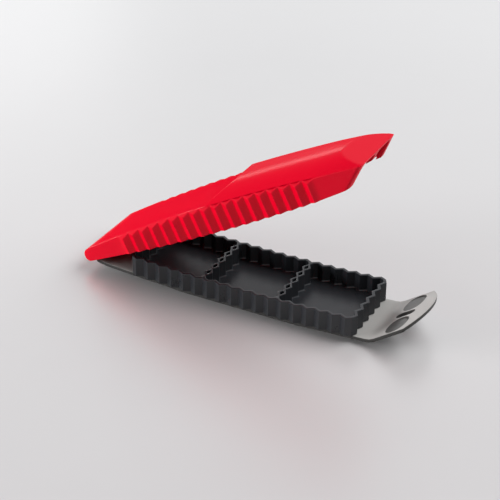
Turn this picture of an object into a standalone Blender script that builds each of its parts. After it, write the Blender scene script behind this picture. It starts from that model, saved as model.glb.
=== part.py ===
# Hinged ravioli maker: a rocker-shaped tray with three toothed cutting cells,
# and a fluted lid that swings down over them about a pin at the left end.
# Frame: X runs along the tray to the tongue, Y to the rear, Z up, the table is Z = 0.
# The lid is drawn closed, on an empty at the hinge, and the empty holds it open.

import math

import bmesh
import bpy
from mathutils import Matrix, Vector

MM = 0.001
GAP = 0.3                  # clearance between pieces that seat on each other

# Teeth and cells
TOOTH_PITCH = 8.0
TOOTH_DEPTH = 2.2          # crest to valley
TEETH_PER_CELL = 6
CELL_COUNT = 3
CELL_INSET = 1.6           # middle of a cell's own teeth inside its square
CUTTER_OUTSET = 0.4        # middle of the outer teeth outside the squares
CUTTER_HEIGHT = 12.0
CUTTER_FLOOR = 1.6
POCKET_OUTSET = 0.4        # how far the diamond pockets stay inside the cell teeth
POCKET_DEPTH = 6.0

# Tray plate
ROCKER_RADIUS = 1400.0
PLATE_THICKNESS = 2.2
PLATE_HALF_WIDTH = 22.5
HINGE_X = -91.0
PLATE_BEHIND_HINGE = 6.5
PLATE_LEFT = HINGE_X - PLATE_BEHIND_HINGE
STAND_HALF_LENGTH = 40.0   # flat part of the underside that stands on the table
HEEL_LEAD = 1.0            # the heel starts to rise a little in front of the hinge
HEEL_START = HINGE_X + HEEL_LEAD
HEEL_RISE = 1.0

# Tongue at the right end
RAMP_START = 82.2
RAMP_ANGLE = math.radians(35.0)
TONGUE_SHOULDER = 101.5    # where the straight sides of the tongue end
TONGUE_LENGTH = 109.5
CATCH_SLOT_START = 88.6
CATCH_SLOT_END = 99.2
CATCH_SLOT_WIDTH = 5.2
SCOOP_CENTRE_X = 94.3
SCOOP_CENTRE_Y = 12.8
SCOOP_HALF_LENGTH = 5.7
SCOOP_HALF_WIDTH = 8.8
SCOOP_FLOOR_ANGLE = math.radians(29.0)   # flatter than the ramp, so deepest at the right

# Hinge
HINGE_Z = 9.3
PIN_RADIUS = 1.5
PIN_END_COVER = 1.2        # closed end of the ears beyond the pin
KNUCKLE_RADIUS = 3.2
KNUCKLE_HALF_LENGTH = 9.6
EAR_RADIUS = 3.0
EAR_WEB = 4.4
EAR_LENGTH = 5.6
EAR_SIDE_GAP = 0.6
OPEN_ANGLE = math.radians(28.7)

# Lid
LID_LIFT = 4.8             # lower edge of the closed lid above the plate at the middle
LID_HEIGHT = 16.0
LID_CROWN = 0.0004         # fall of the top edge per square millimetre of length
LID_LEAN = 0.009           # rise of the top edge towards the right end
LID_WALL = 1.8
LID_CLEARANCE = 0.8        # lid teeth outside cutter teeth
LID_NOSE_REACH = 12.0      # nose of the lid beyond the hinge axis
LID_LEFT = HINGE_X - LID_NOSE_REACH
LID_RIGHT = 102.6
LID_HALF_WIDTH = 26.4      # smooth ends of the lid
LID_END_HALF_WIDTH = 23.4
LID_RAMP_CLEARANCE = 0.6
LID_END_ANGLE = math.radians(38.7)   # the lid's end slopes a little more than the ramp
NOSE_LOWER_RADIUS = 3.4
NOSE_UPPER_RADIUS = 3.4
END_WALL = 2.2
NOTCH_INNER = 2.2          # half width of the catch rib between the end notches
NOTCH_OUTER = 18.6
CATCH_RIB_HEIGHT = 4.4     # how far the catch rib reaches down from the rim
NOTCH_LIP = 1.6            # what stays of the end wall above the notches
NOTCH_REACH = 14.0         # how far the notches start inside the end of the lid's hollow

# Grip
GRIP_LEDGE = 0.8
GRIP_RISE = 23.0           # top of the grip above the lid's lower edge at the middle
GRIP_CROWN = 0.00034
GRIP_WALL = 2.0
GRIP_CUT_ANGLE = math.radians(20.0)
GRIP_TOP_START = 13.6      # where the left cut meets the top of the grip
GRIP_RIM = 0.8             # edge that is left of the grip at the right rim
STUD_RADIUS = 2.0
STUD_X = (24.0, 72.0)
STUD_Y = 12.0

# Press frame in the lid
PRESS_END = 70.0
PRESS_WINDOW = 36.0
PRESS_WINDOW_CORNER = 6.0
PRESS_RIM_GAP = 0.5        # closed gap between the press frame and the cutter rims

# Screws
SCREW_RADIUS = 1.0
SCREW_HEAD_RADIUS = 2.1
SCREW_HEAD_HEIGHT = 1.1
SCREW_LENGTH = 6.4         # of the tray screws; the lid screws end under the lid's skin
LID_SKIN = 0.8
SCREW_SINK = 0.4
SCREW_Y = 8.0
BOSS_RADIUS = 3.0
BOSS_DEPTH = 2.6

ROUND_STEPS = 24
BIG = 200.0


def grid_half(count):
    return count * TOOTH_PITCH * TEETH_PER_CELL / 2


def rocker(x):
    return x * x / (2 * ROCKER_RADIUS)


def plate_top(x):
    heel = max(0.0, (HEEL_START - x) / (HEEL_START - PLATE_LEFT)) * HEEL_RISE
    return PLATE_THICKNESS + rocker(x) + heel


def plate_under(x):
    if abs(x) <= STAND_HALF_LENGTH:
        return 0.0
    return plate_top(x) - PLATE_THICKNESS


def ramp_top(x):
    return plate_top(RAMP_START) + math.tan(RAMP_ANGLE) * (x - RAMP_START)


def cutter_under(x):
    return PLATE_THICKNESS + rocker(x) + GAP


def cutter_top(x):
    return cutter_under(x) + CUTTER_HEIGHT


def lid_under(x):
    return PLATE_THICKNESS + LID_LIFT + rocker(x)


def lid_top(x):
    return lid_under(0.0) + LID_HEIGHT - LID_CROWN * x * x + LID_LEAN * x


def lid_ceiling(x):
    return lid_top(x) - LID_WALL


def grip_base(x):
    return lid_top(x) + GAP


def grip_top(x):
    return lid_under(0.0) + GRIP_RISE - GRIP_CROWN * x * x


def stations(start, end, step=8.0):
    count = max(1, math.ceil(abs(end - start) / step))
    return [start + (end - start) * i / count for i in range(count + 1)]


def arc(centre_x, centre_y, radius, start, end, steps):
    points = []
    for i in range(steps + 1):
        angle = math.radians(start + (end - start) * i / steps)
        points.append((centre_x + radius * math.cos(angle), centre_y + radius * math.sin(angle)))
    return points


def remove_old_objects():
    for old in list(bpy.data.objects):
        bpy.data.objects.remove(old, do_unlink=True)


def make_material(name, colour, roughness, metallic=0.0):
    material = bpy.data.materials.new(name)
    material.use_nodes = True
    shader = material.node_tree.nodes["Principled BSDF"]
    shader.inputs["Base Color"].default_value = (*colour, 1.0)
    shader.inputs["Roughness"].default_value = roughness
    shader.inputs["Metallic"].default_value = metallic
    material.diffuse_color = (*colour, 1.0)
    return material


def new_object(name, bm):
    bmesh.ops.recalc_face_normals(bm, faces=bm.faces)
    mesh = bpy.data.meshes.new(name)
    bm.to_mesh(mesh)
    bm.free()
    made = bpy.data.objects.new(name, mesh)
    bpy.context.scene.collection.objects.link(made)
    return made


def prism(name, outline, low, high, across):
    # Extrudes a closed outline in millimetres: across "z" takes (x, y), "y" takes (x, z).
    bm = bmesh.new()
    rings = []
    for level in (low, high):
        ring = []
        for a, b in outline:
            point = (a, b, level) if across == "z" else (a, level, b)
            ring.append(bm.verts.new(Vector(point) * MM))
        rings.append(ring)
    count = len(outline)
    for i in range(count):
        j = (i + 1) % count
        bm.faces.new((rings[0][i], rings[0][j], rings[1][j], rings[1][i]))
    bm.faces.new(rings[0])
    bm.faces.new(rings[1])
    return new_object(name, bm)


def plan_prism(name, outline, low=-BIG, high=BIG):
    return prism(name, outline, low, high, "z")


def side_prism(name, outline, low=-BIG, high=BIG):
    return prism(name, outline, low, high, "y")


def rod(name, profile, base, axis="z"):
    # Turned solid: profile holds (radius, height) steps from the base upwards.
    bm = bmesh.new()
    rings = []
    for radius, height in profile:
        ring = []
        for i in range(ROUND_STEPS):
            angle = 2 * math.pi * i / ROUND_STEPS
            u = radius * math.cos(angle)
            v = radius * math.sin(angle)
            offset = (u, v, height) if axis == "z" else (u, height, v)
            ring.append(bm.verts.new((Vector(base) + Vector(offset)) * MM))
        rings.append(ring)
    for lower, upper in zip(rings, rings[1:]):
        for i in range(ROUND_STEPS):
            j = (i + 1) % ROUND_STEPS
            bm.faces.new((lower[i], lower[j], upper[j], upper[i]))
    bm.faces.new(rings[0])
    bm.faces.new(rings[-1])
    return new_object(name, bm)


def block(name, low, high):
    outline = [(low[0], low[1]), (high[0], low[1]), (high[0], high[1]), (low[0], high[1])]
    return plan_prism(name, outline, low[2], high[2])


def combine(target, operation, tools):
    for tool in tools:
        step = target.modifiers.new("cut", "BOOLEAN")
        step.operation = operation
        step.solver = "EXACT"
        step.object = tool
        depsgraph = bpy.context.evaluated_depsgraph_get()
        evaluated = target.evaluated_get(depsgraph)
        mesh = bpy.data.meshes.new_from_object(evaluated)
        target.modifiers.remove(step)
        old = target.data
        target.data = mesh
        bpy.data.meshes.remove(old)
        bpy.data.objects.remove(tool, do_unlink=True)
    return target


def finish(target, name, material, hinge=None):
    bm = bmesh.new()
    bm.from_mesh(target.data)
    bmesh.ops.remove_doubles(bm, verts=bm.verts, dist=0.000001)
    bmesh.ops.dissolve_degenerate(bm, edges=bm.edges, dist=0.000001)
    bmesh.ops.recalc_face_normals(bm, faces=bm.faces)
    bm.to_mesh(target.data)
    bm.free()
    target.name = name
    target.data.name = name
    target.data.materials.clear()
    target.data.materials.append(material)
    target.data.shade_smooth()
    target.data.set_sharp_from_angle(angle=math.radians(30))
    if hinge is not None:
        target.data.transform(Matrix.Translation(Vector((-HINGE_X * MM, 0.0, -HINGE_Z * MM))))
        target.parent = hinge
    return target


def toothed_side(half, count, level):
    # Half of a toothed square's side: crests in the middle of each pitch.
    points = []
    for i in range(count):
        crest = -half + TOOTH_PITCH * (i + 0.5)
        points.append((crest, level + TOOTH_DEPTH / 2))
        if i < count - 1:
            points.append((crest + TOOTH_PITCH / 2, level - TOOTH_DEPTH / 2))
    return points


def toothed_loop(centre_x, half_x, half_y, outset):
    # Closed zigzag round a rectangle, with its corners drawn in to a valley.
    slope = TOOTH_DEPTH / (TOOTH_PITCH / 2)
    corner = (outset - TOOTH_DEPTH / 2) / (1 + slope)
    count_x = round(2 * half_x / TOOTH_PITCH)
    count_y = round(2 * half_y / TOOTH_PITCH)
    along_x = toothed_side(half_x, count_x, half_y + outset)
    along_y = toothed_side(half_y, count_y, half_x + outset)
    loop = [(-half_x - corner, -half_y - corner)]
    loop += [(x, -y) for x, y in along_x]
    loop.append((half_x + corner, -half_y - corner))
    loop += [(level, y) for y, level in along_y]
    loop.append((half_x + corner, half_y + corner))
    loop += [(-x, y) for x, y in along_x]
    loop.append((-half_x - corner, half_y + corner))
    loop += [(-level, -y) for y, level in along_y]
    return [(centre_x + x, y) for x, y in loop]


def curved_strip(under, over, start, end):
    # Side outline between two height functions.
    xs = stations(start, end)
    return [(x, under(x)) for x in xs] + [(x, over(x)) for x in reversed(xs)]


def cell_centres():
    width = TOOTH_PITCH * TEETH_PER_CELL
    return [width * (i - (CELL_COUNT - 1) / 2) for i in range(CELL_COUNT)]


def separator_centres():
    centres = cell_centres()
    return [(a + b) / 2 for a, b in zip(centres, centres[1:])]


def make_base_tray():
    xs = stations(PLATE_LEFT, HEEL_START, 4.0)[:-1] + stations(HEEL_START, RAMP_START)
    stand = [x for x in xs if abs(x) > STAND_HALF_LENGTH]
    stand += [-STAND_HALF_LENGTH, STAND_HALF_LENGTH]
    under = [(x, plate_under(x)) for x in sorted(stand)]
    fold = PLATE_THICKNESS * math.tan(RAMP_ANGLE / 2)
    drop = PLATE_THICKNESS / math.cos(RAMP_ANGLE)
    under[-1] = (RAMP_START + fold, plate_under(RAMP_START))
    tip = TONGUE_LENGTH + 1.0
    side = under + [(tip, ramp_top(tip) - drop), (tip, ramp_top(tip))]
    side += [(x, plate_top(x)) for x in reversed(xs)]
    tray = side_prism("tray", side, -PLATE_HALF_WIDTH, PLATE_HALF_WIDTH)

    # Plan of the plate, with the round end of the tongue
    reach = TONGUE_LENGTH - TONGUE_SHOULDER
    radius = (PLATE_HALF_WIDTH ** 2 + reach ** 2) / (2 * reach)
    spread = math.degrees(math.asin(PLATE_HALF_WIDTH / radius))
    nose = arc(TONGUE_LENGTH - radius, 0.0, radius, -spread, spread, 16)
    plan = [(PLATE_LEFT - 1, -PLATE_HALF_WIDTH - 1), (TONGUE_SHOULDER, -PLATE_HALF_WIDTH - 1)]
    plan += nose
    plan += [(TONGUE_SHOULDER, PLATE_HALF_WIDTH + 1), (PLATE_LEFT - 1, PLATE_HALF_WIDTH + 1)]
    combine(tray, "INTERSECT", [plan_prism("plan", plan)])

    # Catch slot through the tongue
    half = CATCH_SLOT_WIDTH / 2
    slot = arc(CATCH_SLOT_END - half, 0.0, half, -90, 90, 8)
    slot += arc(CATCH_SLOT_START + half, 0.0, half, 90, 270, 8)
    cuts = [plan_prism("slot", slot)]

    # Scoops in the ramp: flush at their left rim, with a flatter floor
    low = SCOOP_CENTRE_X - SCOOP_HALF_LENGTH
    high = SCOOP_CENTRE_X + SCOOP_HALF_LENGTH
    floor = [(x, ramp_top(low) + math.tan(SCOOP_FLOOR_ANGLE) * (x - low)) for x in (low - 1, high + 1)]
    floor += [(high + 1, ramp_top(high) + 5), (low - 1, ramp_top(high) + 5)]
    for side_sign in (-1, 1):
        outline = []
        for i in range(ROUND_STEPS):
            angle = 2 * math.pi * i / ROUND_STEPS
            x = SCOOP_CENTRE_X + SCOOP_HALF_LENGTH * math.cos(angle)
            outline.append((x, side_sign * SCOOP_CENTRE_Y + SCOOP_HALF_WIDTH * math.sin(angle)))
        scoop = plan_prism("scoop", outline)
        cuts.append(combine(scoop, "INTERSECT", [side_prism("scoop_floor", floor)]))
    combine(tray, "DIFFERENCE", cuts)

    # Hinge knuckle on the heel
    web = block(
        "web",
        (HINGE_X - KNUCKLE_RADIUS * 0.7, -KNUCKLE_HALF_LENGTH, plate_top(HINGE_X) - 1.0),
        (HINGE_X + KNUCKLE_RADIUS * 0.7, KNUCKLE_HALF_LENGTH, HINGE_Z),
    )
    barrel = rod(
        "barrel",
        [(KNUCKLE_RADIUS, -KNUCKLE_HALF_LENGTH), (KNUCKLE_RADIUS, KNUCKLE_HALF_LENGTH)],
        (HINGE_X, 0.0, HINGE_Z),
        "y",
    )
    combine(tray, "UNION", [web, barrel])
    bore = rod(
        "bore",
        [(PIN_RADIUS + GAP, -BIG), (PIN_RADIUS + GAP, BIG)],
        (HINGE_X, 0.0, HINGE_Z),
        "y",
    )
    combine(tray, "DIFFERENCE", [bore] + [screw_hole(x, y, 0.0) for x, y in tray_screw_places()])
    return tray


def make_cutter_frame():
    half_x = grid_half(CELL_COUNT)
    half_y = grid_half(1)
    side = curved_strip(cutter_under, cutter_top, -half_x - 8, half_x + 8)
    frame = side_prism("cutters", side)
    outer = toothed_loop(0.0, half_x, half_y, CUTTER_OUTSET)
    combine(frame, "INTERSECT", [plan_prism("outer", outer)])

    cuts = []
    for centre in cell_centres():
        inner = toothed_loop(centre, half_y, half_y, -CELL_INSET)
        well = plan_prism("well", inner)
        floor = curved_strip(
            lambda x: cutter_under(x) + CUTTER_FLOOR,
            lambda x: cutter_top(x) + 5,
            centre - half_y - 2,
            centre + half_y + 2,
        )
        combine(well, "INTERSECT", [side_prism("above_floor", floor)])
        cuts.append(well)

    # Diamond pockets where the teeth of two neighbouring cells lie valley to valley
    pocket_x = CELL_INSET + TOOTH_DEPTH / 2 - POCKET_OUTSET - 0.8
    pocket_y = TOOTH_PITCH / 2 * pocket_x / TOOTH_DEPTH * 1.1
    for x in separator_centres():
        for i in range(1, TEETH_PER_CELL):
            y = -half_y + TOOTH_PITCH * i
            diamond = [(x - pocket_x, y), (x, y - pocket_y), (x + pocket_x, y), (x, y + pocket_y)]
            bottom = cutter_top(x) - POCKET_DEPTH
            cuts.append(plan_prism("pocket", diamond, bottom, bottom + 20))
    for x, y in tray_screw_places():
        cuts.append(screw_hole(x, y, 0.0))
    return combine(frame, "DIFFERENCE", cuts)


def tray_screw_places():
    return [(x, y) for x in separator_centres() for y in (-SCREW_Y, SCREW_Y)]


def screw_profile(length, extra=0.0):
    head = SCREW_HEAD_RADIUS + extra
    neck = SCREW_RADIUS + extra
    return [
        (head, -extra * 4),
        (head, 0.2 + extra),
        (neck, SCREW_HEAD_HEIGHT + extra),
        (neck, length + extra),
    ]


def screw_hole(x, y, table):
    return rod("screw_hole", screw_profile(SCREW_LENGTH, GAP), (x, y, table + SCREW_SINK), "z")


def corner_name(x, y):
    return ("front" if y < 0 else "rear") + ("_left" if x < 0 else "_right")


def pin_half_length():
    return KNUCKLE_HALF_LENGTH + EAR_SIDE_GAP + EAR_LENGTH - PIN_END_COVER


def make_hinge_pin():
    chamfer = 0.3
    half = pin_half_length()
    profile = [
        (PIN_RADIUS - chamfer, -half),
        (PIN_RADIUS, -half + chamfer),
        (PIN_RADIUS, half - chamfer),
        (PIN_RADIUS - chamfer, half),
    ]
    return rod("pin", profile, (HINGE_X, 0.0, HINGE_Z), "y")


def lid_level():
    # Middle of the lid's outer teeth, from the centre line
    return grid_half(1) + CUTTER_OUTSET + LID_CLEARANCE + LID_WALL


def lid_plan(inset, left, right):
    # Plan of the lid: toothed sides over the cells, smooth ends, tapered to the right.
    half_x = grid_half(CELL_COUNT)
    level = lid_level() - inset
    smooth = LID_HALF_WIDTH - inset
    slope = (LID_HALF_WIDTH - LID_END_HALF_WIDTH) / (LID_RIGHT - half_x)
    end = smooth - slope * (right - half_x)
    near = [(left, -smooth), (-half_x, -smooth)]
    near += [(x, -y) for x, y in toothed_side(half_x, round(2 * half_x / TOOTH_PITCH), level)]
    near += [(half_x, -smooth), (right, -end)]
    return near + [(x, -y) for x, y in reversed(near)]


def ramp_gap(x):
    return ramp_top(x) + LID_RAMP_CLEARANCE / math.cos(RAMP_ANGLE)


def end_plane(x):
    # Underside of the sloping right end: clear of the ramp at its foot, then a little steeper.
    foot = crossing(lid_under, ramp_gap, grid_half(CELL_COUNT), LID_RIGHT)
    return ramp_gap(foot) + math.tan(LID_END_ANGLE) * (x - foot)


def crossing(first, second, low, high):
    for _ in range(60):
        middle = (low + high) / 2
        if (first(low) - second(low)) * (first(middle) - second(middle)) <= 0:
            high = middle
        else:
            low = middle
    return (low + high) / 2


def make_lid_shell():
    foot = crossing(lid_under, end_plane, 60.0, LID_RIGHT)
    rim = crossing(lid_top, end_plane, foot, LID_RIGHT + 20)
    low = NOSE_LOWER_RADIUS
    top = NOSE_UPPER_RADIUS
    low_z = lid_under(LID_LEFT + low) + low
    top_z = lid_top(LID_LEFT + top) - top
    side = arc(LID_LEFT + top, top_z, top, 90, 180, 4)
    side += arc(LID_LEFT + low, low_z, low, 180, 270, 5)
    side += [(x, lid_under(x)) for x in stations(LID_LEFT + low, foot)[1:]]
    side += [(x, lid_top(x)) for x in reversed(stations(LID_LEFT + top, rim)[1:])]
    shell = side_prism("lid", side)
    combine(shell, "INTERSECT", [plan_prism("plan", lid_plan(0.0, LID_LEFT - 5, rim + 5))])

    # Hollow underneath
    def inner_end(x):
        return end_plane(x) + END_WALL / math.cos(LID_END_ANGLE)

    left = LID_LEFT + LID_WALL
    right_top = crossing(lid_ceiling, inner_end, foot, rim)
    xs = stations(left, right_top)
    floor = lid_under(0.0) - 10.0
    right_low = right_top - (inner_end(right_top) - floor) / math.tan(LID_END_ANGLE)
    hollow_side = [(left, floor), (right_low, floor)] + [(x, lid_ceiling(x)) for x in reversed(xs)]
    hollow = side_prism("hollow", hollow_side)
    combine(hollow, "INTERSECT", [plan_prism("inner", lid_plan(LID_WALL, left, rim + 5))])
    combine(shell, "DIFFERENCE", [hollow])

    # Notches beside the catch rib in the sloping end
    start = right_top - NOTCH_REACH
    notch_top = lid_top(rim) - NOTCH_LIP
    cuts = []
    for sign in (-1, 1):
        ys = sorted((sign * NOTCH_INNER, sign * NOTCH_OUTER))
        cuts.append(block("notch", (start, ys[0], floor), (rim + 5, ys[1], notch_top)))
    rib_foot = lid_top(rim) - CATCH_RIB_HEIGHT
    cuts.append(block("rib_foot", (start, -NOTCH_INNER - 1, floor), (rim + 5, NOTCH_INNER + 1, rib_foot)))
    combine(shell, "DIFFERENCE", cuts)

    # Hinge ears with their webs
    ear_inner = KNUCKLE_HALF_LENGTH + EAR_SIDE_GAP
    ear_outer = ear_inner + EAR_LENGTH
    adds = []
    for sign in (-1, 1):
        ys = sorted((sign * ear_inner, sign * ear_outer))
        ear = rod("ear", [(EAR_RADIUS, ys[0]), (EAR_RADIUS, ys[1])], (HINGE_X, 0.0, HINGE_Z), "y")
        web = block(
            "ear_web",
            (HINGE_X - EAR_WEB / 2, ys[0], HINGE_Z),
            (HINGE_X + EAR_WEB / 2, ys[1], lid_top(HINGE_X) - LID_WALL / 2),
        )
        adds += [ear, web]
    for x, y in lid_screw_places():
        ceiling = lid_ceiling(x)
        boss = [(BOSS_RADIUS, ceiling - BOSS_DEPTH), (BOSS_RADIUS, ceiling + LID_WALL / 2)]
        adds.append(rod("boss", boss, (x, y, 0.0), "z"))
    combine(shell, "UNION", adds)

    reach = pin_half_length() + GAP
    bore = rod("bore", [(PIN_RADIUS + GAP, -reach), (PIN_RADIUS + GAP, reach)], (HINGE_X, 0.0, HINGE_Z), "y")
    cuts = [bore]
    for x, y in lid_screw_places():
        cuts.append(lid_screw_hole(x, y))
    for x in STUD_X:
        for y in (-STUD_Y, STUD_Y):
            hole = [(STUD_RADIUS + GAP, lid_ceiling(x) - 1), (STUD_RADIUS + GAP, lid_top(x) + 2)]
            cuts.append(rod("stud_hole", hole, (x, y, 0.0), "z"))
    return combine(shell, "DIFFERENCE", cuts)


def make_grip_shell():
    rim = crossing(lid_top, end_plane, grid_half(CELL_COUNT), LID_RIGHT + 20)
    outer = grip_body("grip", 0.0, rim)
    inner = grip_body("grip_hollow", GRIP_WALL, rim)
    combine(outer, "DIFFERENCE", [inner])
    adds = []
    for x in STUD_X:
        for y in (-STUD_Y, STUD_Y):
            stud = [(STUD_RADIUS, lid_ceiling(x) + GAP), (STUD_RADIUS, grip_base(x) + GRIP_WALL)]
            pillar = rod("stud", stud, (x, y, 0.0), "z")
            ceiling = grip_height(x, y, rim) - GRIP_WALL / 2
            upper = [(STUD_RADIUS + 1.0, grip_base(x)), (STUD_RADIUS + 1.0, ceiling)]
            adds += [pillar, rod("stud_root", upper, (x, y, 0.0), "z")]
    return combine(outer, "UNION", adds)


def grip_half_width(x):
    half_x = grid_half(CELL_COUNT)
    slope = (LID_HALF_WIDTH - LID_END_HALF_WIDTH) / (LID_RIGHT - half_x)
    return LID_HALF_WIDTH - GRIP_LEDGE - slope * max(0.0, x - half_x)


def grip_arch(x, y):
    share = y / grip_half_width(x)
    return grip_base(x) + (grip_top(x) - grip_base(x)) * (1 - share * share)


def grip_height(x, y, rim):
    left = grip_top(GRIP_TOP_START) - math.tan(GRIP_CUT_ANGLE) * (GRIP_TOP_START - x)
    right = grip_base(rim) + GRIP_RIM + math.tan(GRIP_CUT_ANGLE) * (rim - x)
    return min(grip_arch(x, y), left, right)


def grip_body(name, inset, rim):
    # Arched solid, cut off by a sloping plane at each end.
    slope = math.tan(GRIP_CUT_ANGLE)
    drop = inset / math.cos(GRIP_CUT_ANGLE)

    def left_plane(x):
        return grip_top(GRIP_TOP_START) - slope * (GRIP_TOP_START - x) - drop

    def right_plane(x):
        return grip_base(rim) + GRIP_RIM + slope * (rim - x) - drop

    def under(x):
        return grip_base(x) - inset

    start = crossing(left_plane, grip_base, -60.0, GRIP_TOP_START) if inset == 0 else -60.0
    if inset:
        start = crossing(left_plane, under, -60.0, GRIP_TOP_START)
    end = rim if inset == 0 else crossing(right_plane, under, GRIP_TOP_START, rim + 40)
    end = min(end, rim - inset)
    left_top = crossing(left_plane, grip_top, start, GRIP_TOP_START + 20)
    right_top = crossing(right_plane, grip_top, GRIP_TOP_START + 20, rim)
    xs = stations(start, end)
    bm = bmesh.new()
    steps = 14
    rings = []
    for x in stations(start - 2, end + 2):
        half = grip_half_width(x) - inset
        ring = [bm.verts.new(Vector((x, -half, under(x) - 1)) * MM)]
        for i in range(steps + 1):
            y = -half + 2 * half * i / steps
            ring.append(bm.verts.new(Vector((x, y, grip_arch(x, y) - inset + 0.001)) * MM))
        ring.append(bm.verts.new(Vector((x, half, under(x) - 1)) * MM))
        rings.append(ring)
    for first, second in zip(rings, rings[1:]):
        count = len(first)
        for i in range(count):
            j = (i + 1) % count
            bm.faces.new((first[i], first[j], second[j], second[i]))
    bm.faces.new(rings[0])
    bm.faces.new(rings[-1])
    body = new_object(name, bm)
    side = [(x, under(x)) for x in xs]
    side += [(end, right_plane(end)), (right_top, right_plane(right_top))]
    side += [(right_top, grip_top(0) + 5), (left_top, grip_top(0) + 5)]
    side += [(left_top, left_plane(left_top)), (start, left_plane(start) + 0.01)]
    return combine(body, "INTERSECT", [side_prism("cut", side)])


def make_press_frame():
    side = curved_strip(
        lambda x: cutter_top(x) + PRESS_RIM_GAP,
        lambda x: lid_ceiling(x) - GAP,
        -PRESS_END,
        PRESS_END,
    )
    half = lid_level() - LID_WALL - TOOTH_DEPTH / 2 - GAP
    frame = side_prism("press", side, -half, half)
    cuts = []
    for centre in cell_centres():
        reach = PRESS_WINDOW / 2
        inner = reach - PRESS_WINDOW_CORNER
        window = []
        for i, (sx, sy) in enumerate(((1, 1), (-1, 1), (-1, -1), (1, -1))):
            corner = arc(centre + sx * inner, sy * inner, PRESS_WINDOW_CORNER, 90 * i, 90 * i + 90, 4)
            window += corner
        cuts.append(plan_prism("window", window))
    for x, y in lid_screw_places():
        pocket = [(BOSS_RADIUS + GAP, lid_ceiling(x) - BOSS_DEPTH - GAP), (BOSS_RADIUS + GAP, BIG)]
        cuts.append(rod("boss_pocket", pocket, (x, y, 0.0), "z"))
        cuts.append(lid_screw_hole(x, y))
    return combine(frame, "DIFFERENCE", cuts)


def lid_screw_places():
    return [(x, y) for x in separator_centres() for y in (-SCREW_Y / 2, SCREW_Y / 2)]


def lid_screw_height(x):
    return cutter_top(x) + PRESS_RIM_GAP + SCREW_SINK


def lid_screw_length():
    rooms = [lid_top(x) - lid_screw_height(x) for x, y in lid_screw_places()]
    return min(rooms) - LID_SKIN - GAP


def lid_screw_hole(x, y):
    profile = screw_profile(lid_screw_length(), GAP)
    return rod("lid_screw_hole", profile, (x, y, lid_screw_height(x)), "z")


def build():
    remove_old_objects()
    red = make_material("red_plastic", (0.62, 0.004, 0.02), 0.32)
    dark = make_material("anthracite_plastic", (0.035, 0.037, 0.04), 0.42)
    grey = make_material("grey_plastic", (0.36, 0.36, 0.37), 0.34)
    steel = make_material("steel", (0.6, 0.6, 0.62), 0.25, 1.0)

    hinge = bpy.data.objects.new("lid_hinge", None)
    bpy.context.scene.collection.objects.link(hinge)
    hinge.location = Vector((HINGE_X, 0.0, HINGE_Z)) * MM
    hinge.rotation_euler = (0.0, -OPEN_ANGLE, 0.0)

    finish(make_base_tray(), "base_tray", grey)
    finish(make_cutter_frame(), "cutter_frame", dark)
    for x, y in tray_screw_places():
        screw = rod("screw", screw_profile(SCREW_LENGTH), (x, y, SCREW_SINK), "z")
        finish(screw, "tray_screw_" + corner_name(x, y), steel)
    finish(make_hinge_pin(), "hinge_pin", steel)
    finish(make_lid_shell(), "lid_shell", red, hinge)
    finish(make_grip_shell(), "grip_shell", red, hinge)
    finish(make_press_frame(), "press_frame", red, hinge)
    for x, y in lid_screw_places():
        profile = screw_profile(lid_screw_length())
        screw = rod("screw", profile, (x, y, lid_screw_height(x)), "z")
        finish(screw, "lid_screw_" + corner_name(x, y), steel, hinge)


build()
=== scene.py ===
# Hand-pressed ravioli maker: three toothed cells on a curved tray, under a fluted red lid.
import math
import bmesh
import bpy
import numpy as np
from mathutils import Matrix, Vector
from mathutils.geometry import delaunay_2d_cdt


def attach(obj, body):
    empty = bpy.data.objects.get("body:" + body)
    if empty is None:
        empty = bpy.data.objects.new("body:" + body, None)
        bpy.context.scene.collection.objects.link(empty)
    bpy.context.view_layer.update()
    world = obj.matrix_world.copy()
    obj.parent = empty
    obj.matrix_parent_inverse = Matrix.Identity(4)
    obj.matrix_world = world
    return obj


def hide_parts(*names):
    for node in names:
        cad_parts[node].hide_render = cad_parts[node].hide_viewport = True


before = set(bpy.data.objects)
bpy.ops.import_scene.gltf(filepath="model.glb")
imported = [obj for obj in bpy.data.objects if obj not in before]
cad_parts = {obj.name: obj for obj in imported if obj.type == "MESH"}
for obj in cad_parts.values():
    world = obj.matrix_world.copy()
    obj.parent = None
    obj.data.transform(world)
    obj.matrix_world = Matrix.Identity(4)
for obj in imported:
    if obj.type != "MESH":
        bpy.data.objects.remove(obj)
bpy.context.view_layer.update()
mm = 0.001  # lengths below are in millimetres

# What every piece shares: the teeth, the curve of the tray and the hinge
teeth = {"pitch": 8.0, "depth": 2.2, "softness": 0.035, "perCell": 6, "cells": 3}
rest = {"hingeX": -91.0, "hingeZ": 9.3, "openDegrees": 28.7, "rockerRadius": 1400.0}
cellHalf = teeth["pitch"] * teeth["perCell"] / 2
rowHalf = cellHalf * teeth["cells"]
cellCentres = [cellHalf * 2 * (i - (teeth["cells"] - 1) / 2) for i in range(teeth["cells"])]
wallCentres = [(a + b) / 2 for a, b in zip(cellCentres, cellCentres[1:])]


def rocker(x):
    return x * x / (2 * rest["rockerRadius"])


# places along one tooth, from crest to crest, close together where it bends
toothShares = (
    0.0, 0.011, 0.028, 0.065, 0.25, 0.435, 0.472, 0.489,
    0.5, 0.511, 0.528, 0.565, 0.75, 0.935, 0.972, 0.989,
)
cornerShares = (0.022, 0.056, 0.13, 0.4, 0.7, 0.9, 1.0)  # the same from the last crest to a corner
midTurn = 0.29  # how far in a rounded edge is half way round, as a share of its radius


def toothHeight(along):
    phase = (along / teeth["pitch"]) % 1 - 0.5
    rise = 2 * abs(phase)
    soft = teeth["softness"]
    wave = 0.5 * (math.hypot(rise, soft) + 1 - math.hypot(1 - rise, soft))
    return teeth["depth"] * (0.5 - wave)


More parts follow.
